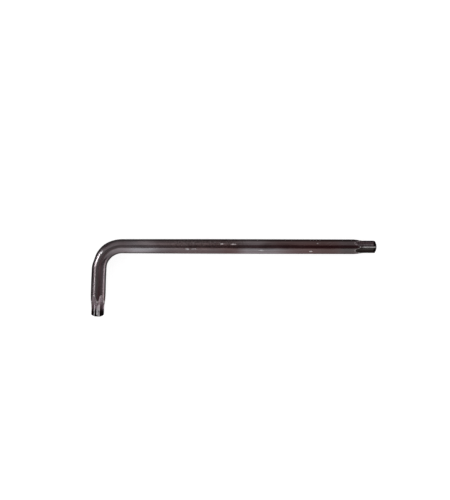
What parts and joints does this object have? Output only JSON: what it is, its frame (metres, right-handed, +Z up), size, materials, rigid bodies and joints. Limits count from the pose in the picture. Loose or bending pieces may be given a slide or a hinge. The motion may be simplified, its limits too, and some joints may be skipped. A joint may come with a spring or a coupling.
{
  "type": "star-drive key",
  "caption": "L-shaped key bent from one round steel bar, with a six-lobed star drive tip on each arm.",
  "frame": {"origin": "centre of the key's bounding box in X and Y, on the flat surface that the key lies on", "axes": "+X along the long arm towards its tip, -Y the way the short arm points, +Z up from the surface the key lies on"},
  "size_m": [0.1166, 0.0318, 0.006],
  "materials": {
    "burnished_steel": "dark brownish burnished steel, worn semi-gloss"
  },
  "bodies": {
    "root": {"star_key": "burnished_steel"}
  },
  "joints": []
}
